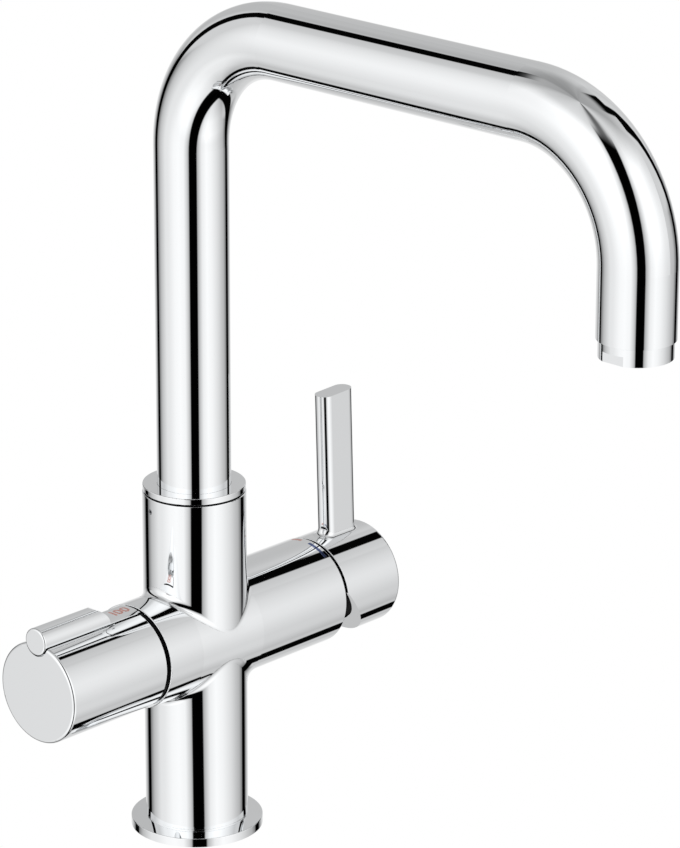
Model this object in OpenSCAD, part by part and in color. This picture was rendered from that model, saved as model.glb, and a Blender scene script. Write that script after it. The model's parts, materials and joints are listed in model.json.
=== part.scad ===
// Two-handle boiling water tap with a swivelling U-shaped spout.
// Origin: centre of the base underside. +Z up, spout towards -Y,
// boiling water knob towards -X, mixer lever towards +X. Millimetres.

/* [Column and base] */
// Outer diameter of the upright column
column_d = 39.3; // [38.5:0.1:42]
// Radius of the hollow in the lower column
chamber_r = 16.3; // [15.5:0.1:16.8]
// Height of the hollow in the lower column
chamber_top = 55; // [50:0.5:55]
// Height of the column's top face
column_top = 135.9; // [130:0.1:145]
// Outer diameter of the base flange
flange_d = 50.6; // [48:0.1:60]
// Height of the flange's outer rim
flange_rim_h = 3.4; // [3:0.1:4]
// Rise of the flange's coned top between its rim and its hub
flange_cone_h = 0.8; // [0.4:0.1:1]
// Height of the flange's hub, which the column stands on
hub_top = 4.7; // [4.6:0.1:6]
// Middle radius of the flange's sealing ring
flange_seal_r = 21.5; // [21:0.1:22]
// Width of the flange's sealing ring
flange_seal_w = 2.6; // [2:0.1:3]
// Height of the flange's sealing ring
flange_seal_h = 1.6; // [1:0.1:2]

/* [Handle barrel] */
// Height of the barrel's axis above the deck
barrel_z = 77.9; // [77:0.1:80]
// Diameter of the barrel at the knob end
barrel_left_d = 40.6; // [40:0.1:42]
// Diameter of the barrel at the mixer end
barrel_right_d = 41.9; // [41:0.1:43]
// Distance from the column's axis to the barrel's knob end
barrel_left_x = 33.1; // [33:0.1:36]
// Distance from the column's axis to the barrel's mixer end
barrel_right_x = 62; // [61:0.1:66]
// Half length of the taper that joins the two barrel diameters
barrel_taper_x = 16; // [12:0.5:18]

/* [Waterways] */
// Radius of the circle that the supply ports lie on
port_circle_r = 10; // [9.8:0.1:10.2]
// Minor radius of each threaded hose port
port_r = 4.5; // [4.2:0.1:4.6]
// Depth of each threaded hose port
port_depth = 10; // [8:0.5:11]
// Minor radius of the central stud hole
stud_r = 3.4; // [3:0.1:3.5]
// Depth of the central stud hole
stud_depth = 14; // [10:0.5:18]
// Height of the inlet block
inlet_h = 22; // [20:0.5:26]
// Outer radius of a riser tube
riser_r = 4; // [3.8:0.1:4.2]
// Wall of a riser tube
riser_wall = 1; // [0.8:0.1:1.2]
// Depth that a riser tube enters each socket
riser_socket = 6; // [5:0.5:7]
// Radius of the drilled supply waterways
way_r = 3; // [2.5:0.1:3.2]
// Width of the seal pocket around each way into the cartridge
way_seal_w = 1.5; // [1.4:0.1:1.6]
// Least wall between a seal pocket and the cartridge's bore
way_edge = 0.8; // [0.6:0.1:1]
// Height of the outlet waterways above the barrel's axis
way_out_rise = 7; // [6:0.1:8]
// Distance of the mixed water riser from the column's axis
mixed_way_x = 7.5; // [7:0.1:7.8]

/* [Spout] */
// Outer diameter of the spout tube
tube_d = 28; // [26:0.1:30]
// Wall of the spout tube
tube_wall = 1.5; // [1:0.1:1.8]
// Height of the horizontal arm's axis
arm_z = 317.3; // [260:0.5:360]
// Centreline radius of the bend above the column
bend_back_r = 46.1; // [40:0.1:60]
// Length of the straight arm between the bends
arm_len = 117.6; // [80:0.1:180]
// Centreline radius of the bend above the outlet
bend_front_r = 48.5; // [40:0.1:60]
// Length of the straight outlet leg
outlet_len = 25.3; // [20:0.1:60]
// Outer diameter of the collar that the tube stands in
collar_d = 39; // [38:0.1:39.3]
// Height of the collar's top face above the column's top face
collar_rise = 3.05; // [3:0.05:6]
// Thickness of the glide ring under the collar
glide_h = 0.55; // [0.5:0.05:1]
// Outer diameter of the glide ring
glide_d = 38; // [36:0.1:38.5]
// Radius of the bore that the spout's stem turns in
stem_bore_r = 13.5; // [13.3:0.1:14]
// Bore of the stem
stem_hollow_r = 9.6; // [9:0.1:10]
// Height of the stem's lower seal above the stem's end
stem_seal_low = 5; // [4:0.5:6]
// Distance between the stem's two seals
stem_seal_pitch = 9; // [8:0.5:10]
// Height of the stem bore's floor
stem_floor_z = 102; // [101:0.5:104]
// Height of the stem's lower end above that floor
stem_lift = 2; // [1:0.5:3]
// Height of the stem's spigot inside the tube
spigot_h = 12; // [8:0.5:20]
// Outer radius of the boiling water hose
hose_r = 3; // [2.8:0.1:3.2]
// Wall of the boiling water hose
hose_wall = 1; // [0.6:0.1:1.2]
// Depth of the socket that the hose plugs into
hose_socket = 6; // [5:0.5:7]
// Half the angle that the spout may swivel through
swivel_half_angle = 75; // [45:1:80]

/* [Aerator] */
// Outer diameter of the aerator housing
aerator_d = 26.3; // [25.5:0.1:26.5]
// Height of the housing that shows below the tube
aerator_h = 6.5; // [5:0.1:9]
// Height of the housing inside the tube
aerator_thread_h = 7.5; // [6:0.1:10]
// Wall of the housing inside the tube
aerator_wall = 1.2; // [1:0.1:1.4]
// Depth of each wrench flat on the housing
wrench_flat_depth = 0.8; // [0.4:0.1:0.9]
// Height of each wrench flat
wrench_flat_h = 3.5; // [3:0.1:4.5]
// Height of the shadow gap between the tube and the housing
shadow_gap_h = 0.35; // [0.2:0.05:0.5]
// Height of the rubber seal above the housing
aerator_seal_h = 1.6; // [1:0.1:2]

/* [Boiling water knob] */
// Outer diameter of the knob
knob_d = 39; // [38.5:0.1:39.2]
// Length of the knob
knob_len = 48.2; // [46:0.1:60]
// Gap between the knob and the barrel
knob_gap = 1.5; // [1.2:0.1:1.8]
// Wall of the knob
knob_wall = 2.2; // [2:0.1:2.6]
// End wall of the knob
knob_end_wall = 3; // [2:0.1:4]
// Length of the hub inside the knob
hub_len = 15; // [13.5:0.5:16]
// Radius of the valve spindle
spindle_r = 4; // [3.8:0.1:4.2]
// Angle that the knob turns through
knob_turn_angle = 90; // [60:1:90]

/* [Child lock button] */
// Radius of the round button bar
button_r = 5.3; // [5:0.05:5.4]
// Height of the bar's axis above the barrel's axis
button_rise = 20.4; // [20:0.1:20.6]
// Gap on each side of the bar
button_gap = 0.45; // [0.3:0.05:0.6]
// Angle that the button rocks through when its tail is pressed
button_press_angle = 2; // [1:0.1:2.2]
// Distance of the button's hinge pin from the knob's outer end
hinge_from_end = 6.5; // [6:0.1:8]
// Depth of the hinge pin below the bar's axis
hinge_drop = 6.1; // [6:0.1:6.3]
// Radius of the hinge pin
hinge_pin_r = 1; // [0.8:0.1:1.1]
// Amount that the bar's end disc stands out of the knob's end
button_proud = 0.7; // [0.2:0.1:1]
// Length of the raised part of the bar
button_raised_len = 26; // [24:0.1:30]
// Radius of the rounded step down to the bar's tail
button_step_r = 7; // [6:0.1:10]
// Radius of the button's stop post
post_r = 1.8; // [1.5:0.1:2]
// Distance of the stop post from the knob's outer end
post_from_end = 26.8; // [24:0.1:27]

/* [Mixer lever] */
// Step from the barrel's surface in to the lever's cap
cap_inset = 0.35; // [0.1:0.05:0.5]
// Length of the cap
cap_len = 29.5; // [29:0.1:34]
// Gap between the cap and the barrel
cap_gap = 1.6; // [1.2:0.1:1.8]
// Radius of the hollow in the cap
cap_hollow_r = 15.5; // [15.2:0.1:16]
// Wall of the cap at its coned mouth
cap_mouth_wall = 1; // [0.8:0.1:1.6]
// Depth of the cap's coned mouth
cap_mouth_depth = 10.7; // [9:0.1:12]
// End wall of the cap
cap_end_wall = 5; // [4:0.1:6]
// Slope of the clearance cut, as length along the barrel per unit of drop
cap_cut_slope = 0.71; // [0.65:0.01:0.8]
// Height above the barrel's axis where the clearance cut starts
cap_cut_start = 3.5; // [2:0.1:4]
// Width of the lever bar along the barrel
bar_w = 17.2; // [15:0.1:18]
// Thickness of the lever bar
bar_t = 7.5; // [7:0.1:8]
// Height of the bar's top above the barrel's axis
bar_top = 78.4; // [50:0.1:90]
// Distance from the cap's inner end to the middle of the bar's root
bar_from_edge = 14.9; // [14:0.1:17]
// Lean of the bar towards the column in degrees
bar_lean = 2; // [0:0.1:3]
// Radius of the fillets at the bar's root
bar_fillet_r = 1.5; // [1:0.1:3]
// Distance from the cap's inner end to the tilt axis
pivot_from_edge = 8.4; // [8:0.1:9]
// Angle that the lever tilts through
lever_tilt_angle = 20; // [15:1:20]
// Half the angle that the lever turns through about the barrel
temperature_half_angle = 45; // [35:1:55]

/* [Cartridge] */
// Wall of the barrel around the mixer cartridge
cartridge_wall = 3.95; // [3.5:0.05:5]
// Distance from the column's axis to that bore's floor
cartridge_floor_x = 22; // [21:0.1:24]
// Length of the cartridge housing
cartridge_len = 30; // [30:0.1:31]
// Thickness of the cartridge's ported back wall
cartridge_back = 6; // [5:0.1:7]
// Thickness of the cartridge's front wall
cartridge_front = 12; // [11:0.1:12]
// Radius of the chamber inside the cartridge
cartridge_chamber_r = 13; // [12.6:0.1:13.4]
// Thickness of each ceramic disc
disc_h = 4; // [3.8:0.1:4.2]
// Radius of the rotor's shaft
rotor_r = 8; // [7.8:0.1:8.2]
// Radius of the lever's pivot pin
pin_r = 2; // [1.8:0.1:2.2]
// Length of the ring nut
ring_nut_len = 7; // [6:0.1:7]
// Radius of the dome that covers the joint
dome_r = 12.8; // [12.6:0.1:13]
// Wall of the dome
dome_wall = 1.2; // [1:0.1:1.4]
// Wall of the barrel around the boiling valve
valve_wall = 4.3; // [3.5:0.05:5]
// Distance from the column's axis to that bore's floor
valve_floor_x = 14; // [13.8:0.1:15]
// Length of the valve body
valve_len = 14; // [13:0.1:15]

/* [Hidden] */
$fn = 96;

// Radial clearance of seated pieces, and of shafts that turn
seat_gap = 0.1;
run_gap = 0.05;
// Overlap that keeps cuts from ending on a face
over = 1;
// Edge rounding: of the chromed pieces, the two handles' outer ends, the button's and the foot's
edge_r = 0.3;
end_edge_r = 1.2;
button_edge_r = 0.8;
seam_r = 0.15;

column_r = column_d / 2;
column_foot = hub_top;
glide_top = column_top + glide_h;
collar_z = glide_top + run_gap;
collar_top = column_top + collar_rise;
tube_r = tube_d / 2;
tube_in_r = tube_r - tube_wall;
tube_foot = collar_z + 1;
outlet_y = -(bend_back_r + arm_len + bend_front_r);
outlet_z = arm_z - bend_front_r - outlet_len;
spigot_top = collar_z + spigot_h;
stem_z = stem_floor_z + stem_lift;
stem_r = stem_bore_r - run_gap;
seal_cord = 1.5;

knob_r = knob_d / 2;
knob_in_r = knob_r - knob_wall;
gap_ring_h = 0.6;
knob_inner_x = -(barrel_left_x + knob_gap);
knob_outer_x = knob_inner_x - knob_len;
hub_x = knob_inner_x - 1;
button_z = barrel_z + button_rise;
button_outer_x = knob_outer_x - button_proud;
button_inner_x = knob_inner_x + 0.2;
button_step_x = knob_outer_x + button_raised_len;
button_under_z = button_z - button_r;
button_tail_r = barrel_left_d / 2;
groove_r = button_r + button_gap;
hinge_x = knob_outer_x + hinge_from_end;
hinge_z = button_z - hinge_drop;
groove_angle = button_press_angle + 0.3;
tail_travel = (button_inner_x - hinge_x) * sin(groove_angle);
lug_r = hinge_pin_r + 1.2;
lug_half_w = 3;
lug_gap = 0.6;
saddle_half_w = groove_r + 2.3;
saddle_floor_z = button_z - groove_r - tail_travel - 4.4;
post_x = knob_outer_x + post_from_end;
post_hole_r = post_r + 0.5;
spring_out_r = post_r + 1.5;
spring_in_r = post_r + 0.4;
spring_floor_z = saddle_floor_z + 1.5;

cartridge_bore_r = barrel_right_d / 2 - cartridge_wall;
valve_bore_r = barrel_left_d / 2 - valve_wall;
cap_r = barrel_right_d / 2 - cap_inset;
cap_x = barrel_right_x + cap_gap;
cap_end_x = cap_x + cap_len;
pivot_x = cap_x + pivot_from_edge;
lever_screw_x = cap_end_x - cap_end_wall - 2.1;
bar_x = cap_x + bar_from_edge;
bar_edge_r = bar_t / 2 - 0.05;
fork_end_x = pivot_x + 4;
tongue_half_t = 3.9;
tongue_half_h = 4;
cheek_gap = 4;
nut_x = cartridge_floor_x + cartridge_len;
cover_x = nut_x + ring_nut_len;
cover_plate = 2.4;
disc_x = cartridge_floor_x + cartridge_back;
rotor_disc_x = disc_x + 2 * disc_h + run_gap;
chamber_end_x = cartridge_floor_x + cartridge_len - cartridge_front;
valve_nut_x = -(valve_floor_x + valve_len);

// Supply ports: hot and cold towards the mixer, boiling towards the knob
hot_angle = 60;
cold_angle = -60;
boiling_angle = 180;
port_angles = [hot_angle, cold_angle, boiling_angle];
way_in_drop = sqrt(pow(cartridge_bore_r - way_r - way_seal_w - way_edge, 2)
                   - pow(port_y(hot_angle), 2));
way_in_z = barrel_z - way_in_drop;
cross_way_r = way_r - 0.4;
valve_way_r = way_r - 0.8;
way_out_z = barrel_z + way_out_rise;
screw_angle = 167.6;
screw_z = column_top - 5;
screw_r = 1;
screw_sink = 0.15;
thin_mark = 0.06;

chrome = [0.80, 0.81, 0.82];
brass = [0.78, 0.62, 0.30];
copper = [0.80, 0.50, 0.34];
black_plastic = [0.06, 0.06, 0.07];
grey_plastic = [0.62, 0.64, 0.66];
rubber = [0.12, 0.12, 0.13];
ceramic = [0.93, 0.92, 0.88];
steel = [0.60, 0.61, 0.63];
hose_colour = [0.90, 0.90, 0.86];

// Round bar along Z from z0 to z1
module zbar(r, z0, z1) {
    translate([0, 0, z0]) cylinder(r = r, h = z1 - z0);
}

// Round bar along X from x0 to x1, on the barrel's axis unless moved
module xbar(r, x0, x1, y = 0, z = barrel_z) {
    translate([x0, y, z]) rotate([0, 90, 0]) cylinder(r = r, h = x1 - x0);
}

// Round bar along Y, centred on y = 0
module ybar(r, len, x, z) {
    translate([x, 0, z]) rotate([90, 0, 0]) cylinder(r = r, h = len, center = true);
}

// Half section of a bar with rounded edges: e0 at its start, e1 at its end
module soft_section(r, len, e0, e1) {
    translate([0, e0]) square([r, len - e0 - e1]);
    if (e0 > 0) square([r - e0, e0]);
    if (e1 > 0) translate([0, len - e1]) square([r - e1, e1]);
    if (e0 > 0) intersection() {
        translate([r - e0, e0]) circle(r = e0);
        square([r, e0]);
    }
    if (e1 > 0) intersection() {
        translate([r - e1, len - e1]) circle(r = e1);
        translate([0, len - e1]) square([r, e1]);
    }
}

module soft_zbar(r, z0, z1, e0, e1) {
    translate([0, 0, z0]) rotate_extrude() soft_section(r, z1 - z0, e0, e1);
}

module soft_xbar(r, x0, x1, e0, e1) {
    translate([x0, 0, barrel_z]) rotate([0, 90, 0]) rotate_extrude()
        soft_section(r, x1 - x0, e0, e1);
}

module zring(r_out, r_in, z0, z1) {
    difference() {
        zbar(r_out, z0, z1);
        zbar(r_in, z0 - over, z1 + over);
    }
}

module xring(r_out, r_in, x0, x1, y = 0, z = barrel_z) {
    difference() {
        xbar(r_out, x0, x1, y, z);
        xbar(r_in, x0 - over, x1 + over, y, z);
    }
}

// Places children on the port circle at angle a
module at_port(a) {
    rotate([0, 0, a]) translate([port_circle_r, 0, 0]) rotate([0, 0, -a]) children();
}

function port_x(a) = port_circle_r * cos(a);
function port_y(a) = port_circle_r * sin(a);

// Round tube along the spout's centreline, from z0 up, over and down to z1
module spout_path(r, z0, z1) {
    zbar(r, z0, arm_z - bend_back_r);
    translate([0, -bend_back_r, arm_z - bend_back_r])
        rotate([90, 0, 90]) rotate_extrude(angle = 90) translate([bend_back_r, 0]) circle(r = r);
    translate([0, -bend_back_r, arm_z]) rotate([90, 0, 0]) cylinder(r = r, h = arm_len);
    translate([0, -bend_back_r - arm_len, arm_z - bend_front_r])
        rotate([90, 0, 90]) rotate([0, 0, 90]) rotate_extrude(angle = 90)
            translate([bend_front_r, 0]) circle(r = r);
    translate([0, outlet_y, z1]) cylinder(r = r, h = arm_z - bend_front_r - z1);
}

// --- Fixed body -------------------------------------------------------------

module body_outside() {
    soft_zbar(column_r, column_foot, column_top, seam_r, edge_r);
    soft_xbar(barrel_left_d / 2, -barrel_left_x, -barrel_taper_x, edge_r, 0);
    translate([-barrel_taper_x, 0, barrel_z]) rotate([0, 90, 0])
        cylinder(r1 = barrel_left_d / 2, r2 = barrel_right_d / 2, h = 2 * barrel_taper_x);
    soft_xbar(barrel_right_d / 2, barrel_taper_x, barrel_right_x, 0, edge_r);
}

// Hot or cold way: up from its riser, then along to the cartridge
module supply_way(a) {
    at_port(a) {
        zbar(riser_r + run_gap, chamber_top - over, chamber_top + riser_socket);
        zbar(way_r, chamber_top, way_in_z + way_r);
    }
    xbar(cross_way_r, port_x(a), cartridge_floor_x + over, port_y(a), way_in_z);
}

module boiling_way() {
    small_r = way_r - 0.5;
    at_port(boiling_angle) {
        zbar(riser_r + run_gap, chamber_top - over, chamber_top + riser_socket);
        zbar(small_r, chamber_top, way_in_z + small_r);
    }
    xbar(valve_way_r, -valve_floor_x - over, -port_circle_r, 0, way_in_z);
    xbar(valve_way_r, -valve_floor_x - over, 0, 0, way_out_z);
    zbar(small_r, way_out_z - small_r, stem_floor_z);
    zbar(hose_r + run_gap, stem_floor_z - hose_socket, stem_floor_z + over);
}

module mixed_way() {
    xbar(cross_way_r, mixed_way_x, cartridge_floor_x + over, 0, way_out_z);
    translate([mixed_way_x, 0, 0]) zbar(way_r, way_out_z - way_r, stem_floor_z + over);
}

module tap_body() {
    color(chrome) difference() {
        body_outside();
        zbar(chamber_r, 0, chamber_top);
        xbar(valve_bore_r, -barrel_left_x - over, -valve_floor_x);
        xbar(cartridge_bore_r, cartridge_floor_x, barrel_right_x + over);
        zbar(stem_bore_r, stem_floor_z, column_top + over);
        supply_way(hot_angle);
        supply_way(cold_angle);
        boiling_way();
        mixed_way();
        lock_screw_hole(screw_r + run_gap);
    }
}

module base_flange() {
    color(chrome) difference() {
        union() {
            soft_zbar(flange_d / 2, 0, flange_rim_h, 0, edge_r);
            translate([0, 0, flange_rim_h])
                cylinder(r1 = flange_d / 2 - edge_r, r2 = column_r, h = flange_cone_h);
            soft_zbar(column_r, flange_rim_h, hub_top, 0, seam_r);
        }
        zbar(chamber_r, -over, hub_top + over);
        zring(flange_seal_r + flange_seal_w / 2 + seat_gap,
              flange_seal_r - flange_seal_w / 2 - seat_gap, -over, flange_seal_h);
    }
}

module flange_seal() {
    color(rubber)
        zring(flange_seal_r + flange_seal_w / 2, flange_seal_r - flange_seal_w / 2,
              0, flange_seal_h);
}

module inlet_block() {
    color(brass) difference() {
        zbar(chamber_r - seat_gap, 0, inlet_h);
        zbar(stud_r, -over, stud_depth);
        for (a = port_angles) at_port(a) {
            zbar(port_r, -over, port_depth);
            zbar(riser_r + run_gap, port_depth - over, inlet_h + over);
        }
    }
}

module riser(a) {
    color(copper) at_port(a)
        zring(riser_r, riser_r - riser_wall, inlet_h - riser_socket, chamber_top + riser_socket);
}

module hot_riser() {
    riser(hot_angle);
}

module cold_riser() {
    riser(cold_angle);
}

module boiling_riser() {
    riser(boiling_angle);
}

module spout_glide_ring() {
    color(black_plastic) zring(glide_d / 2, stem_bore_r + seat_gap, column_top, glide_top);
}

module lock_screw_hole(r) {
    rotate([0, 0, screw_angle]) translate([0, 0, screw_z]) rotate([0, 90, 0])
        cylinder(r = r, h = column_r + over);
}

// Grub screw whose tip runs in the stem's groove
module spout_lock_screw() {
    tip_r = stem_bore_r - 0.9;
    head_r = column_r - screw_sink;
    color(steel) rotate([0, 0, screw_angle]) translate([tip_r, 0, screw_z]) rotate([0, 90, 0])
        difference() {
            cylinder(r = screw_r, h = head_r - tip_r);
            translate([0, 0, head_r - tip_r - 1.2]) cylinder(r = 0.55, h = 3, $fn = 6);
        }
}

module boil_valve() {
    color(brass) difference() {
        xbar(valve_bore_r - seat_gap, valve_nut_x, -valve_floor_x);
        xbar(spindle_r + run_gap, valve_nut_x - over, -valve_floor_x - 4);
        xbar(way_r - 0.5, -valve_floor_x - 5, -valve_floor_x + over, 0, way_in_z);
        xbar(way_r - 0.5, -valve_floor_x - 5, -valve_floor_x + over, 0, way_out_z);
        for (z = [way_in_z, way_out_z])
            xring(way_r + way_seal_w, way_r - 0.5, -valve_floor_x - 1.2, -valve_floor_x + over, 0, z);
    }
}

module boil_valve_seals() {
    color(rubber) for (z = [way_in_z, way_out_z])
        xring(way_r + way_seal_w - 0.1, way_r - 0.4, -valve_floor_x - 1.2, -valve_floor_x, 0, z);
}

module boil_valve_nut() {
    color(brass) xring(valve_bore_r - seat_gap, spindle_r + 2, -barrel_left_x, valve_nut_x);
}

module knob_gap_ring() {
    color(black_plastic)
        xring(knob_r - 0.6, spindle_r + 2, -barrel_left_x - gap_ring_h, -barrel_left_x);
}

// Y and Z of the three ways where they enter the cartridge
function cartridge_ways() =
    [[port_y(hot_angle), way_in_z], [port_y(cold_angle), way_in_z], [0, way_out_z]];

module mixer_cartridge() {
    color(grey_plastic) difference() {
        xbar(cartridge_bore_r - seat_gap, cartridge_floor_x, nut_x);
        xbar(cartridge_chamber_r, disc_x, chamber_end_x);
        xbar(rotor_r + run_gap, chamber_end_x - over, nut_x + over);
        for (s = cartridge_ways()) {
            xbar(way_r, cartridge_floor_x - over, disc_x + over, s[0], s[1]);
            xbar(way_r + way_seal_w, cartridge_floor_x - over, cartridge_floor_x + 1.2, s[0], s[1]);
        }
    }
}

module cartridge_seals() {
    color(rubber) for (s = cartridge_ways())
        xring(way_r + way_seal_w - 0.1, way_r + 0.1, cartridge_floor_x, cartridge_floor_x + 1.2,
              s[0], s[1]);
}

module fixed_disc() {
    color(ceramic) difference() {
        xbar(cartridge_chamber_r - seat_gap, disc_x, disc_x + disc_h);
        for (s = cartridge_ways()) xbar(way_r - 0.4, disc_x - over, disc_x + disc_h + over, s[0], s[1]);
    }
}

module cartridge_nut() {
    color(brass) xring(cartridge_bore_r - seat_gap, rotor_r + 1.5, nut_x, cover_x);
}

// Dark cover: a plate over the ring nut and a dome around the lever's pivot
module cartridge_cover() {
    plate_x = cover_x + cover_plate;
    color(black_plastic) difference() {
        union() {
            xbar(cartridge_bore_r - seat_gap, cover_x, plate_x);
            xbar(dome_r, plate_x - over, pivot_x);
            translate([pivot_x, 0, barrel_z]) sphere(r = dome_r);
        }
        translate([pivot_x, 0, barrel_z]) sphere(r = dome_r - dome_wall);
        xbar(dome_r - dome_wall, plate_x, pivot_x);
        xbar(rotor_r + 1.5, cover_x - over, pivot_x + dome_r + over);
    }
}

// Arc of colour around the barrel, a1 to a2 degrees from the top towards the front
module barrel_mark(a1, a2) {
    mark_w = 1.3;
    mark_from_end = 1.6;
    r = barrel_right_d / 2;
    translate([barrel_right_x - mark_from_end, 0, barrel_z]) rotate([a2, 0, 0])
        rotate([0, -90, 0]) rotate_extrude(angle = a2 - a1)
            translate([r, 0]) square([thin_mark, mark_w]);
}

module hot_mark() { color("red") barrel_mark(-16, -3); }
module cold_mark() { color("royalblue") barrel_mark(8, 34); }

// --- Spout ------------------------------------------------------------------

module spout_stem() {
    groove_z = screw_z - screw_r - 0.3;
    color(brass) difference() {
        union() {
            zbar(stem_r, stem_z, collar_z);
            zbar(tube_in_r - run_gap, collar_z, spigot_top);
        }
        zbar(stem_hollow_r, stem_z - over, spigot_top + over);
        for (z = seal_heights()) zring(stem_r + over, stem_r - seal_cord, z, z + seal_cord + 0.6);
        translate([0, 0, groove_z]) rotate([0, 0, screw_angle - swivel_half_angle - 8])
            rotate_extrude(angle = 2 * swivel_half_angle + 16)
                translate([stem_r - 1.2, 0]) square([2, 2 * screw_r + 0.6]);
    }
}

function seal_heights() = [stem_z + stem_seal_low, stem_z + stem_seal_low + stem_seal_pitch];

module stem_seals() {
    color(rubber) for (z = seal_heights())
        translate([0, 0, z + seal_cord / 2 + 0.3]) rotate_extrude()
            translate([stem_r - seal_cord / 2, 0]) circle(r = seal_cord / 2 - 0.01);
}

module spout_collar() {
    color(chrome) difference() {
        soft_zbar(collar_d / 2, collar_z, collar_top, edge_r, edge_r);
        zbar(tube_in_r, collar_z - over, tube_foot + over);
        zbar(tube_r + run_gap, tube_foot, collar_top + over);
    }
}

module spout_tube() {
    color(chrome) difference() {
        spout_path(tube_r, tube_foot, outlet_z);
        spout_path(tube_in_r, tube_foot - over, outlet_z - over);
    }
}

module boiling_hose() {
    hose_end_z = outlet_z + 3;
    color(hose_colour) difference() {
        spout_path(hose_r, stem_floor_z - hose_socket, hose_end_z);
        spout_path(hose_r - hose_wall, stem_floor_z - hose_socket - over, hose_end_z - over);
    }
}

// --- Aerator ----------------------------------------------------------------

module aerator_housing() {
    r = aerator_d / 2;
    hollow_r = tube_in_r - seat_gap - aerator_wall;
    low_z = outlet_z - aerator_h;
    color(chrome) translate([0, outlet_y, 0]) difference() {
        union() {
            zbar(r, low_z, outlet_z);
            zbar(tube_in_r - seat_gap, outlet_z - over, outlet_z + aerator_thread_h);
        }
        zbar(hollow_r, low_z - over, outlet_z + aerator_thread_h + over);
        zring(r + over, r - 0.5, outlet_z - shadow_gap_h, outlet_z);
        for (s = [-1, 1]) translate([s * (2 * r - wrench_flat_depth), 0, low_z])
            cube([2 * r, 2 * r, 2 * wrench_flat_h], center = true);
    }
}

module aerator_insert() {
    insert_r = tube_in_r - 2 * seat_gap - aerator_wall;
    low_z = outlet_z - aerator_h + 0.8;
    top_z = outlet_z + aerator_thread_h;
    jet_r = 2;
    color(grey_plastic) translate([0, outlet_y, 0]) difference() {
        zbar(insert_r, low_z, top_z);
        zbar(hose_r + run_gap, outlet_z + 2.9, top_z + over);
        zbar(jet_r, low_z - over, top_z);
        zring(insert_r - 2, hose_r + 2, outlet_z + 2, top_z + over);
        for (ring = [[4.6, 8], [7.2, 14], [9.6, 20]], i = [0 : ring[1] - 1])
            rotate([0, 0, i * 360 / ring[1]]) translate([ring[0], 0, 0])
                zbar(0.85, low_z - over, outlet_z + 2.5);
    }
}

module aerator_seal() {
    top_z = outlet_z + aerator_thread_h;
    color(rubber) translate([0, outlet_y, 0])
        zring(tube_in_r - run_gap, tube_in_r - 3, top_z, top_z + aerator_seal_h);
}

// --- Boiling water knob -----------------------------------------------------

// Space for the button bar at rest and pressed, and for its hinge lug
module button_groove(x0, x1) {
    pocket_r = lug_r + lug_gap;
    xbar(groove_r, x0, x1, 0, button_z);
    translate([hinge_x, 0, hinge_z]) rotate([0, groove_angle, 0])
        xbar(groove_r - 0.15, x0 - hinge_x - over, x1 - hinge_x + over, 0, hinge_drop);
    translate([hinge_x - pocket_r, -lug_half_w - lug_gap, hinge_z - pocket_r])
        cube([2 * pocket_r, 2 * (lug_half_w + lug_gap), pocket_r + hinge_drop]);
}

module boil_knob() {
    color(chrome) difference() {
        union() {
            difference() {
                soft_xbar(knob_r, knob_outer_x, knob_inner_x, end_edge_r, edge_r);
                xbar(knob_in_r, knob_outer_x + knob_end_wall, knob_inner_x + over);
            }
            intersection() {
                xbar(knob_r - 0.2, knob_outer_x + 1, knob_inner_x);
                translate([knob_outer_x, -saddle_half_w, saddle_floor_z])
                    cube([knob_len, 2 * saddle_half_w, knob_r]);
            }
        }
        button_groove(knob_outer_x - over, knob_inner_x + over);
        translate([post_x, 0, 0]) zbar(spring_out_r + seat_gap, spring_floor_z, button_z);
        translate([post_x, 0, 0]) zbar(post_hole_r, saddle_floor_z - over, button_z);
        ybar(hinge_pin_r + run_gap, 2 * saddle_half_w + over, hinge_x, hinge_z);
        set_screw_hole(2);
    }
}

module button_pin() {
    color(steel) ybar(hinge_pin_r, 2 * saddle_half_w, hinge_x, hinge_z);
}

module set_screw_hole(r) {
    translate([hub_x - hub_len / 2, 0, barrel_z - knob_r - over])
        cylinder(r = r, h = knob_r + over - spindle_r);
}

module knob_hub() {
    color(black_plastic) difference() {
        xbar(knob_in_r - seat_gap, hub_x - hub_len, hub_x);
        xbar(spindle_r + run_gap, hub_x - hub_len + 2, hub_x + over);
        translate([hub_x - hub_len - over, -saddle_half_w - seat_gap, saddle_floor_z - seat_gap])
            cube([hub_len + 2 * over, 2 * (saddle_half_w + seat_gap), 2 * knob_r]);
        set_screw_hole(2);
    }
}

module valve_spindle() {
    color(brass) xbar(spindle_r, hub_x - hub_len + 2, -valve_floor_x - 6);
}

module knob_set_screw() {
    foot_z = barrel_z - knob_r + 0.5;
    color(steel) translate([hub_x - hub_len / 2, 0, 0]) difference() {
        zbar(1.95, foot_z, barrel_z - spindle_r);
        translate([0, 0, foot_z - 1]) cylinder(r = 1.1, h = 3.5, $fn = 6);
    }
}

// Coil spring under the button, drawn as the sleeve that it fills
module lock_spring() {
    color(steel) translate([post_x, 0, 0])
        zring(spring_out_r, spring_in_r, spring_floor_z, button_under_z - 0.05);
}

module button_outside() {
    intersection() {
        translate([0, 0, button_rise])
            soft_xbar(button_r, button_outer_x, button_inner_x, button_edge_r, 0);
        union() {
            translate([button_outer_x - over, -button_r - over, button_z - button_r - over])
                cube([button_step_x - button_outer_x + over, 2 * (button_r + over),
                      2 * (button_r + over)]);
            ybar(button_step_r, 2 * (button_r + over), button_step_x,
                 button_z + button_r - button_step_r);
            xbar(button_tail_r, button_step_x - over, button_inner_x + over);
        }
    }
}

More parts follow.
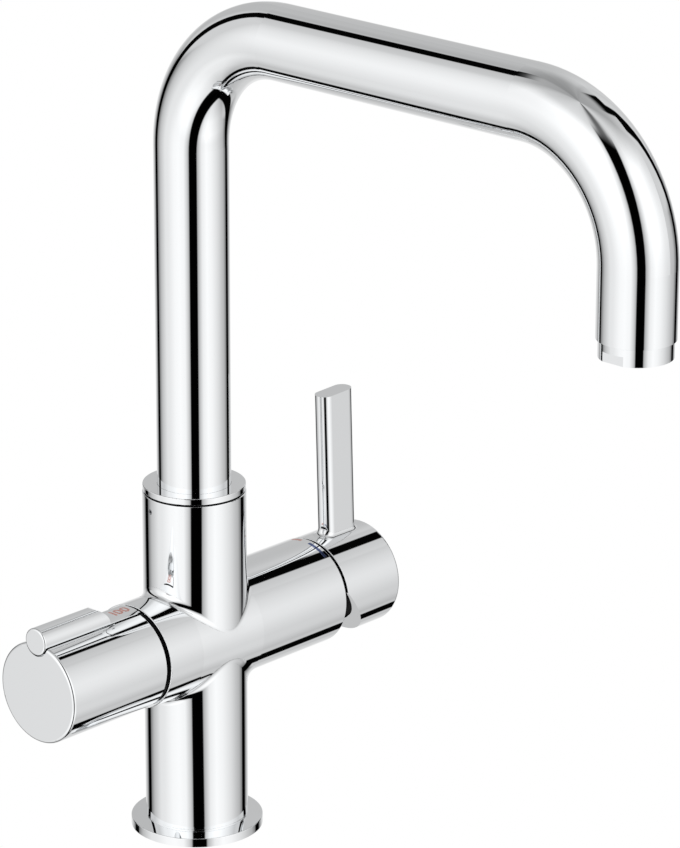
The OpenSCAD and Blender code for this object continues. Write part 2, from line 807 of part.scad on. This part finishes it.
// Bar with a hinge lug near its outer end and a stop post towards its tail
module lock_button() {
    color(chrome) difference() {
        union() {
            button_outside();
            translate([post_x, 0, 0]) zbar(post_r, saddle_floor_z - 1.4, button_z);
            ybar(lug_r, 2 * lug_half_w, hinge_x, hinge_z);
            translate([hinge_x - lug_r, -lug_half_w, hinge_z])
                cube([2 * lug_r, 2 * lug_half_w, hinge_drop]);
        }
        ybar(hinge_pin_r + run_gap, 4 * lug_half_w, hinge_x, hinge_z);
    }
}

// Clip on the post, against the underside of the knob's saddle
module button_clip() {
    color(steel) translate([post_x, 0, 0])
        zring(post_r + 1.6, post_r, saddle_floor_z - 0.85, saddle_floor_z - 0.05);
}

// Red numerals "100" lying on the button's tail
module heat_mark() {
    mark_x = button_inner_x - 5.7;
    color("red") intersection() {
        xring(button_tail_r + thin_mark, button_tail_r, mark_x - 5, mark_x + 5);
        translate([mark_x, 0, button_z - button_r]) linear_extrude(4 * button_r)
            heat_numerals();
    }
}

module heat_numerals() {
    digit_h = 4.4;
    stroke = 0.8;
    translate([-3.9, -digit_h / 2]) square([stroke, digit_h]);
    for (x = [-0.8, 2.5]) translate([x, 0]) difference() {
        numeral_oval(1.45, digit_h);
        numeral_oval(1.45 - stroke, digit_h - 2 * stroke);
    }
}

module numeral_oval(half_w, h) {
    for (s = [-1, 1]) translate([0, s * (h / 2 - half_w)]) circle(r = half_w);
    translate([-half_w, -h / 2 + half_w]) square([2 * half_w, h - 2 * half_w]);
}

// --- Mixer ------------------------------------------------------------------

module cartridge_rotor() {
    color(grey_plastic) difference() {
        union() {
            xbar(cartridge_chamber_r - 3, rotor_disc_x, chamber_end_x - 0.1);
            xbar(rotor_r, chamber_end_x - over, fork_end_x);
        }
        translate([pivot_x - 6, -cheek_gap, barrel_z - 2 * rotor_r])
            cube([20, 2 * cheek_gap, 4 * rotor_r]);
        ybar(pin_r + run_gap, 4 * rotor_r, pivot_x, barrel_z);
    }
}

module moving_disc() {
    color(ceramic) xbar(cartridge_chamber_r - 2, disc_x + disc_h + run_gap, rotor_disc_x);
}

module pivot_pin() {
    color(steel) ybar(pin_r, 2 * rotor_r - 3, pivot_x, barrel_z);
}

// Half space low on the cap that lets it swing past the barrel
module cap_cut() {
    cut_angle = atan(cap_cut_slope);
    translate([cap_x, 0, barrel_z + cap_cut_start]) rotate([0, -cut_angle, 0])
        translate([-4 * cap_r, -2 * cap_r, -4 * cap_r]) cube([4 * cap_r, 4 * cap_r, 4 * cap_r]);
}

module bar_outline() {
    square([bar_w - 2 * bar_edge_r, bar_t], center = true);
    square([bar_w, bar_t - 2 * bar_edge_r], center = true);
    for (sx = [-1, 1], sy = [-1, 1])
        translate([sx * (bar_w / 2 - bar_edge_r), sy * (bar_t / 2 - bar_edge_r)])
            circle(r = bar_edge_r);
}

// Concave fillet between the bar's wide face and the round cap
module wide_face_fillet() {
    y0 = bar_t / 2 - 0.1;
    cy = y0 + bar_fillet_r;
    cz = sqrt(pow(cap_r + bar_fillet_r, 2) - cy * cy);
    k = cap_r / (cap_r + bar_fillet_r);
    translate([bar_x - bar_w / 2 + bar_edge_r, 0, barrel_z]) rotate([90, 0, 90])
        linear_extrude(bar_w - 2 * bar_edge_r) difference() {
            polygon([[y0, cap_r - 3], [y0, cz], [cy, cz], [cy * k, cz * k], [cy * k - 1, cap_r - 3]]);
            translate([cy, cz]) circle(r = bar_fillet_r);
        }
}

// Places children at the bar's root on the cap, leaning like the bar
module at_bar() {
    translate([bar_x, 0, barrel_z + cap_r]) rotate([0, -bar_lean, 0]) children();
}

module mixer_lever() {
    color(chrome) difference() {
        union() {
            soft_xbar(cap_r, cap_x, cap_end_x, edge_r, end_edge_r);
            at_bar() translate([0, 0, -4]) linear_extrude(bar_top - cap_r + 4) bar_outline();
            wide_face_fillet();
            mirror([0, 1, 0]) wide_face_fillet();
        }
        cap_hollow(0);
        cap_cut();
        lever_screw_hole(2);
    }
}

// Hollow of the cap, made smaller all round by gap
module cap_hollow(gap) {
    mouth_r = cap_r - cap_mouth_wall;
    slope = (mouth_r - cap_hollow_r) / cap_mouth_depth;
    xbar(cap_hollow_r - gap, cap_x + 1, cap_end_x - cap_end_wall);
    translate([cap_x - over, 0, barrel_z]) rotate([0, 90, 0])
        cylinder(r1 = mouth_r + slope * over - gap, r2 = cap_hollow_r - gap, h = cap_mouth_depth + over);
}

module lever_screw_hole(r) {
    translate([lever_screw_x, 0, barrel_z - cap_r - over])
        cylinder(r = r, h = cap_r + over - tongue_half_h);
}

module lever_liner() {
    color(black_plastic) difference() {
        cap_hollow(seat_gap);
        translate([cap_x - 2 * over, 0, 0]) xbar(cap_r, 0, 2 * over + 0.5);
        translate([pivot_x, 0, barrel_z]) sphere(r = dome_r + 0.9);
        xbar(dome_r + 0.9, cap_x, pivot_x);
        translate([pivot_x, -tongue_half_t - run_gap, barrel_z - 6])
            cube([60, 2 * (tongue_half_t + run_gap), 12]);
        translate([0.8, 0, 0]) cap_cut();
        lever_screw_hole(2);
    }
}

// Flat tongue that joins the lever to the rotor's fork
module lever_tongue() {
    color(steel) difference() {
        union() {
            ybar(4.5, 2 * tongue_half_t, pivot_x, barrel_z);
            translate([pivot_x, -tongue_half_t, barrel_z - tongue_half_h])
                cube([cap_end_x - cap_end_wall - pivot_x, 2 * tongue_half_t, 2 * tongue_half_h]);
        }
        ybar(pin_r + run_gap, 4 * tongue_half_t, pivot_x, barrel_z);
    }
}

module lever_set_screw() {
    foot_z = barrel_z - cap_r + 0.5;
    color(steel) translate([lever_screw_x, 0, 0]) difference() {
        zbar(1.95, foot_z, barrel_z - tongue_half_h);
        translate([0, 0, foot_z - 1]) cylinder(r = 1.1, h = 3.5, $fn = 6);
    }
}

tap_body();
base_flange();
flange_seal();
inlet_block();
hot_riser();
cold_riser();
boiling_riser();
spout_glide_ring();
spout_lock_screw();
boil_valve();
boil_valve_seals();
boil_valve_nut();
knob_gap_ring();
mixer_cartridge();
cartridge_seals();
fixed_disc();
cartridge_nut();
cartridge_cover();
hot_mark();
cold_mark();
spout_stem();
stem_seals();
spout_collar();
spout_tube();
boiling_hose();
aerator_housing();
aerator_insert();
aerator_seal();
boil_knob();
knob_hub();
valve_spindle();
knob_set_screw();
lock_spring();
button_pin();
lock_button();
button_clip();
heat_mark();
cartridge_rotor();
moving_disc();
pivot_pin();
mixer_lever();
lever_liner();
lever_tongue();
lever_set_screw();
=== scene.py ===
import json
import math

import bmesh
import bpy
from mathutils import Matrix, Vector


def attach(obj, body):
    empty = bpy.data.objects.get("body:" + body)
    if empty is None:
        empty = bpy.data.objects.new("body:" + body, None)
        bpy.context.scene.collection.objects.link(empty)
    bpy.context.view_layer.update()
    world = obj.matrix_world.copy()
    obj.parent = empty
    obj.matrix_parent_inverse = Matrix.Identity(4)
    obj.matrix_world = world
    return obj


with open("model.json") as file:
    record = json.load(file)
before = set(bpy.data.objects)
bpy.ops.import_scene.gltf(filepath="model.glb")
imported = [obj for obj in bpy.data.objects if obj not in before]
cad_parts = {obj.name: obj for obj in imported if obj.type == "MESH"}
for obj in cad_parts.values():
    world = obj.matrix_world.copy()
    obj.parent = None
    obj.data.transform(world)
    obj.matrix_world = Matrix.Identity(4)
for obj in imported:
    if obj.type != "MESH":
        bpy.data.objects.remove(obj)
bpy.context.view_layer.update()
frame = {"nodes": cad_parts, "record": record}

nodes = frame["nodes"]
scene = bpy.context.scene
scene.view_settings.view_transform = "Standard"

# Sizes of the CAD solids that the blends lie on, in millimetres
COLUMN_R = 19.65
BARREL_Z = 77.9
BARREL_R_KNOB = 20.3
BARREL_R_MIXER = 20.95
CAP_R = 20.6
BAR_X = 78.5
BAR_HALF_W = 8.6
BAR_HALF_T = 3.75
BAR_ROUND_R = 3.7

# The barrel's radius changes from one to the other over the width from -this to this, in the blends
TAPER_HALF_X = 16

# How far the bar goes sideways for its height
BAR_LEAN = math.tan(math.radians(2))

# Radii of the blends, in millimetres
UPPER_CROTCH_R = 3.2
LOWER_CROTCH_R = 6.5
LOWER_CROTCH_R_KNOB = 3.4
LEVER_ROOT_R = 1.5
LEVER_ROOT_R_INNER = 2.6

# The blends stand this far proud, so that they don't fight with the solids' own faces
PROUD = 0.015

# Places round the column, steps across a crotch and the lever's root, and steps round the bar's corner
COLUMN_PLACES = 240
CROTCH_STEPS = 12
LEVER_ROOT_STEPS = 14
CORNER_STEPS = 12


# --- Materials ---------------------------------------------------------------

mats = {}


def material(name, color, metallic, rough, grain, detail, relief=None):
    """Adds a material with a roughness between two values, and an optional relief, from a fine noise."""
    m = mats[name] = bpy.data.materials.new(name)
    m.use_nodes = True
    t = m.node_tree
    bsdf = t.nodes["Principled BSDF"]
    bsdf.inputs["Base Color"].default_value = (*color, 1)
    bsdf.inputs["Metallic"].default_value = metallic

    def add(kind, source, out, into, **values):
        n = t.nodes.new(kind)
        for key, value in values.items():
            n.inputs[key.replace("_", " ")].default_value = value
        t.links.new(source.outputs[out], n.inputs[into])
        return n

    coords = t.nodes.new("ShaderNodeTexCoord")
    noise = add("ShaderNodeTexNoise", coords, "Object", "Vector", Scale=grain, Detail=detail)
    spread = add("ShaderNodeMapRange", noise, 0, "Value",
                 From_Min=0.35, From_Max=0.65, To_Min=rough[0], To_Max=rough[1])
    t.links.new(spread.outputs[0], bsdf.inputs["Roughness"])
    if relief:
        bump = add("ShaderNodeBump", noise, 0, "Height", Strength=relief[0], Distance=relief[1])
        t.links.new(bump.outputs["Normal"], bsdf.inputs["Normal"])


def chrome(name, color):
    material(name, color, 1.0, (0.012, 0.035), 60.0, 4.0)


def machined(name, color):
    material(name, color, 1.0, (0.18, 0.32), 900.0, 2.0, (0.15, 0.00005))


def moulded(name, color, rough=(0.35, 0.5), strength=0.2):
    material(name, color, 0.0, rough, 1500.0, 3.0, (strength, 0.00003))


def lacquer(name, color):
    """Thin coloured lacquer that lets the chrome shine through."""
    material(name, color, 0.75, (0.08, 0.16), 1500.0, 3.0)


chrome("chrome", (0.918, 0.93, 0.94))
machined("brass", (0.62, 0.42, 0.14))
machined("copper", (0.72, 0.32, 0.17))
machined("steel", (0.42, 0.43, 0.45))
moulded("black_plastic", (0.003, 0.003, 0.0035))
moulded("grey_plastic", (0.3, 0.31, 0.32))
moulded("hose", (0.72, 0.72, 0.66))
moulded("rubber", (0.012, 0.012, 0.012), (0.6, 0.75), 0.4)
moulded("ceramic", (0.82, 0.8, 0.74), (0.12, 0.2), 0.05)
lacquer("red_paint", (0.72, 0.36, 0.31))
lacquer("blue_paint", (0.11, 0.15, 0.32))

for name in ("black_plastic", "rubber"):
    mats[name].node_tree.nodes["Principled BSDF"].inputs["Specular IOR Level"].default_value = 0.03

for part in frame["record"]["subparts"]:
    o = nodes[part["node"]]
    o.data.materials.clear()
    o.data.materials.append(mats[part["material_slot"]])


# --- Blends in the castings ---------------------------------------------------

def strip(name, columns, body):
    """Chromed surface through columns of points in millimetres, one column for each place on the edge."""
    mesh = bpy.data.meshes.new(name)
    bm = bmesh.new()
    grid = [[bm.verts.new(Vector(p) / 1000) for p in row] for row in zip(*columns)]
    n = len(columns)
    for a, b in zip(grid, grid[1:]):
        for i in range(n):
            j = (i + 1) % n
            bm.faces.new((a[i], a[j], b[j], b[i]))
    bmesh.ops.recalc_face_normals(bm, faces=bm.faces)
    for f in bm.faces:
        f.smooth = True
    bm.to_mesh(mesh)
    bm.free()
    o = bpy.data.objects.new(name, mesh)
    scene.collection.objects.link(o)
    o.data.materials.append(mats["chrome"])
    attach(o, body)


def arc(centre, r, a, b, steps):
    """Points on the short arc about centre, from the side of a to the side of b."""
    u, v = (Vector(a) - centre).normalized(), (Vector(b) - centre).normalized()
    whole = u.angle(v)
    out = []
    for i in range(steps + 1):
        t = i / steps
        d = u if whole < 1e-4 else (u * math.sin((1 - t) * whole) + v * math.sin(t * whole)) / math.sin(whole)
        out.append(centre + d * r)
    return out


def barrel_blend(sign, r_wide, r_knob):
    """Rolling-ball blend round the column, above the barrel or below it, with its own radius at the knob."""
    columns = []
    for i in range(COLUMN_PLACES):
        a = math.tau * i / COLUMN_PLACES
        t = max(-math.cos(a), 0)
        r = r_wide + (r_knob - r_wide) * t * t * (3 - 2 * t)
        x, y = (COLUMN_R + r) * math.cos(a), (COLUMN_R + r) * math.sin(a)
        mixer_share = min(max((x + TAPER_HALF_X) / (2 * TAPER_HALF_X), 0), 1)
        barrel = BARREL_R_KNOB + (BARREL_R_MIXER - BARREL_R_KNOB) * mixer_share
        z = math.sqrt((barrel + r) ** 2 - y * y)
        k = barrel / (barrel + r)
        centre = Vector((x, y, BARREL_Z + sign * z))
        on_column = (COLUMN_R * math.cos(a), COLUMN_R * math.sin(a), centre.z)
        on_barrel = (x, y * k, BARREL_Z + sign * z * k)
        columns.append(arc(centre, r - PROUD, on_column, on_barrel, CROTCH_STEPS))
    return columns


def bar_outline():
    """Points and outward directions round the lever bar's section."""
    out = []
    for q, (sx, sy) in enumerate(((1, 1), (-1, 1), (-1, -1), (1, -1))):
        for i in range(CORNER_STEPS + 1):
            a = math.pi / 2 * (q + i / CORNER_STEPS)
            n = Vector((math.cos(a), math.sin(a)))
            corner = Vector((sx * (BAR_HALF_W - BAR_ROUND_R), sy * (BAR_HALF_T - BAR_ROUND_R)))
            out.append((corner + n * BAR_ROUND_R, n))
    return out


def lever_blend():
    """Blend between the lever's bar and its round cap, wider on the bar's inner side."""
    columns = []
    for p, n in bar_outline():
        t = max(-n.x, 0)
        r = LEVER_ROOT_R + (LEVER_ROOT_R_INNER - LEVER_ROOT_R) * t * (2 - t)
        c = p + n * r
        z = math.sqrt((CAP_R + r) ** 2 - c.y * c.y)
        k = CAP_R / (CAP_R + r)
        shift = BAR_X - BAR_LEAN * (z - CAP_R)
        centre = Vector((c.x + shift, c.y, BARREL_Z + z))
        on_bar = (p.x + shift, p.y, centre.z)
        on_cap = (c.x + shift, c.y * k, BARREL_Z + z * k)
        columns.append(arc(centre, r - PROUD, on_bar, on_cap, LEVER_ROOT_STEPS))
    return columns


strip("upper_crotch", barrel_blend(1, UPPER_CROTCH_R, UPPER_CROTCH_R), "tap")
strip("lower_crotch", barrel_blend(-1, LOWER_CROTCH_R, LOWER_CROTCH_R_KNOB), "tap")
strip("lever_root", lever_blend(), "lever")


# --- Camera ------------------------------------------------------------------

SENSOR_MM = 36.0
PHOTO_HEIGHT_PX = 848.0
FOCAL_PX = 4611.8
CAMERA_AT = (-1.1575, -1.1523, 0.729)
YAW, PITCH, ROLL = (math.radians(a) for a in (42.947, 19.152, 0.115))

cam_data = bpy.data.cameras.new("camera")
cam = bpy.data.objects.new("camera", cam_data)
scene.collection.objects.link(cam)
scene.camera = cam
cam_data.sensor_fit = "AUTO"
cam_data.sensor_width = SENSOR_MM
cam_data.lens = SENSOR_MM * FOCAL_PX / PHOTO_HEIGHT_PX
cam_data.clip_end = 50.0
look = Vector((math.cos(YAW) * math.cos(PITCH), math.sin(YAW) * math.cos(PITCH), -math.sin(PITCH)))
turn = look.to_track_quat("-Z", "Y").to_matrix() @ Matrix.Rotation(ROLL, 3, "Z")
cam.matrix_world = Matrix.Translation(CAMERA_AT) @ turn.to_4x4()


# --- Studio ------------------------------------------------------------------

# Direction of the studio's front, in degrees from +X: roughly where the camera stands
FRONT = 229

# Light by degrees from the front, to the right and the left as the camera sees it: a bright panel on
# each side, a fade, and more light again at the back
RIGHT = [(6, 0.2), (12, 0.36), (18, 0.58), (27, 0.87), (42, 1.0), (58, 0.93), (80, 0.74), (97, 0.56),
         (108, 0.46), (117, 0.24), (135, 0.1), (139, 0.26), (147, 0.48), (154, 0.66), (168, 0.78)]
LEFT = [(6, 0.2), (12, 0.36), (18, 0.64), (28, 0.94), (44, 1.0), (60, 0.96), (80, 0.82), (92, 0.79),
        (115, 0.5), (125, 0.26), (131, 0.1), (142, 0.1), (146, 0.24), (155, 0.52), (168, 0.74)]

# Least light from the sides and the back, apart from a belt below the level
PLAIN = 0.55

# Light by height, from straight below at 0 to straight above at 1
HEIGHT = [(0.0, 0.55), (0.12, 0.8), (0.22, 0.86), (0.3, 0.78), (0.36, 0.79), (0.42, 0.82), (0.5, 0.87),
          (0.6, 0.91), (0.7, 0.9), (0.82, 0.92), (0.87, 0.8), (0.93, 0.6), (1.0, 0.5)]

# Dark gaps between the panels: degrees from +X, sideways lean for their height, half width in degrees
GAPS = [(357.3, -0.028, 7.0), (92.3, 0.03, 6.8), (FRONT, 0.0, 11.5)]

# Share of a gap's half width that its edge fades over on each side, and share of the light it takes
GAP_FADE = 0.12
GAP_DEPTH = 0.998

# How much the light from the back changes from the level up, and far below the level
BACK_DIM = -0.43
BACK_DIM_BELOW = -0.22

STRENGTH = 1.34


def studio_world():
    """White for the camera. In reflections, a round of soft light with dark gaps between the panels."""
    w = bpy.data.worlds.new("studio")
    scene.world = w
    w.use_nodes = True
    t = w.node_tree
    t.nodes.clear()

    def new(kind, **props):
        n = t.nodes.new(kind)
        for k, v in props.items():
            setattr(n, k, v)
        return n

    def calc(op, *values):
        n = new("ShaderNodeMath", operation=op)
        for i, v in enumerate(values):
            if isinstance(v, (int, float)):
                n.inputs[i].default_value = v
            else:
                t.links.new(v, n.inputs[i])
        return n.outputs[0]

    def ramp(value, stops):
        n = new("ShaderNodeValToRGB")
        e = n.color_ramp.elements
        e.remove(e[-1])
        for i, (pos, level) in enumerate(stops):
            el = e[0] if i == 0 else e.new(pos)
            el.position = pos
            el.color = (level, level, level, 1)
        t.links.new(value, n.inputs[0])
        return n.outputs[0]

    def blend(value, low, high):
        """0 below low, 1 above high, smooth between them."""
        n = new("ShaderNodeMapRange", interpolation_type="SMOOTHSTEP")
        n.inputs["From Min"].default_value = low
        n.inputs["From Max"].default_value = high
        t.links.new(value, n.inputs["Value"])
        return n.outputs[0]

    coords = new("ShaderNodeTexCoord")
    split = new("ShaderNodeSeparateXYZ")
    t.links.new(coords.outputs["Generated"], split.inputs[0])
    x, y, z = split.outputs

    # Angle from the front, in half turns from -1 to 1
    c, s = math.cos(math.radians(FRONT)), math.sin(math.radians(FRONT))
    along = calc("ADD", calc("MULTIPLY", x, c), calc("MULTIPLY", y, s))
    across = calc("SUBTRACT", calc("MULTIPLY", y, c), calc("MULTIPLY", x, s))
    angle = calc("DIVIDE", calc("ARCTAN2", across, along), math.pi)
    turned = calc("ABSOLUTE", angle)

    stops = sorted(RIGHT + [(-d, v) for d, v in LEFT])
    level = ramp(calc("MULTIPLY_ADD", angle, 0.5, 0.5), [((d / 180 + 1) / 2, v) for d, v in stops])
    away = blend(calc("ABSOLUTE", calc("ADD", z, 0.3)), 0.2, 0.42)
    plain = calc("MULTIPLY", blend(turned, 0.45, 0.58), away)
    level = calc("MAXIMUM", level, calc("MULTIPLY", plain, PLAIN))

    below_top = calc("SUBTRACT", 1.0, blend(z, 0.8, 0.92))

    def gap(degrees, lean, half_width):
        """Near 0 inside an upright gap that leans slightly and ends near the top, 1 elsewhere."""
        d = math.radians(degrees)
        off = calc("ADD", calc("MULTIPLY", x, -math.sin(d)), calc("MULTIPLY", y, math.cos(d)))
        off = calc("ABSOLUTE", calc("MULTIPLY_ADD", z, lean, off))
        w = math.radians(half_width)
        inside = calc("SUBTRACT", 1.0, blend(off, w * (1 - GAP_FADE), w * (1 + GAP_FADE)))
        near = calc("MULTIPLY", inside, below_top)
        ahead = calc("ADD", calc("MULTIPLY", x, math.cos(d)), calc("MULTIPLY", y, math.sin(d)))
        dark = calc("MULTIPLY", near, calc("GREATER_THAN", ahead, 0.0))
        return calc("MULTIPLY_ADD", dark, -GAP_DEPTH, 1.0)

    for place in GAPS:
        level = calc("MULTIPLY", level, gap(*place))

    height = ramp(calc("MULTIPLY_ADD", z, 0.5, 0.5), HEIGHT)
    back = blend(turned, 0.78, 0.95)
    above = blend(z, -0.25, 0.12)
    below = calc("SUBTRACT", 1.0, blend(z, -0.65, -0.42))
    dim = calc("MULTIPLY_ADD", calc("MULTIPLY", back, above), BACK_DIM, 1.0)
    dim = calc("MULTIPLY", dim, calc("MULTIPLY_ADD", calc("MULTIPLY", back, below), BACK_DIM_BELOW, 1.0))
    light = calc("MULTIPLY", calc("MULTIPLY", level, calc("MULTIPLY", height, dim)), STRENGTH)

    path = new("ShaderNodeLightPath")
    mix = new("ShaderNodeMix", data_type="FLOAT")
    t.links.new(path.outputs["Is Camera Ray"], mix.inputs["Factor"])
    t.links.new(light, mix.inputs["A"])
    mix.inputs["B"].default_value = 1.0
    shade = new("ShaderNodeBackground")
    shade.inputs["Color"].default_value = (1, 1, 1, 1)
    t.links.new(mix.outputs["Result"], shade.inputs["Strength"])
    out = new("ShaderNodeOutputWorld")
    t.links.new(shade.outputs[0], out.inputs[0])


def floor():
    """Pale floor under the tap: white for the camera and left out of the reflections."""
    mesh = bpy.data.meshes.new("floor")
    bm = bmesh.new()
    bmesh.ops.create_grid(bm, x_segments=1, y_segments=1, size=4.0)
    bm.to_mesh(mesh)
    bm.free()
    o = bpy.data.objects.new("floor", mesh)
    o.location = (0, 0, -0.0002)
    o.visible_glossy = False
    scene.collection.objects.link(o)
    m = bpy.data.materials.new("floor")
    m.use_nodes = True
    t = m.node_tree
    bsdf = t.nodes["Principled BSDF"]
    bsdf.inputs["Base Color"].default_value = (0.9, 0.9, 0.9, 1)
    bsdf.inputs["Roughness"].default_value = 0.9
    glow = t.nodes.new("ShaderNodeEmission")
    path = t.nodes.new("ShaderNodeLightPath")
    mix = t.nodes.new("ShaderNodeMixShader")
    t.links.new(path.outputs["Is Camera Ray"], mix.inputs[0])
    t.links.new(bsdf.outputs[0], mix.inputs[1])
    t.links.new(glow.outputs[0], mix.inputs[2])
    t.links.new(mix.outputs[0], t.nodes["Material Output"].inputs[0])
    o.data.materials.append(m)


studio_world()
floor()
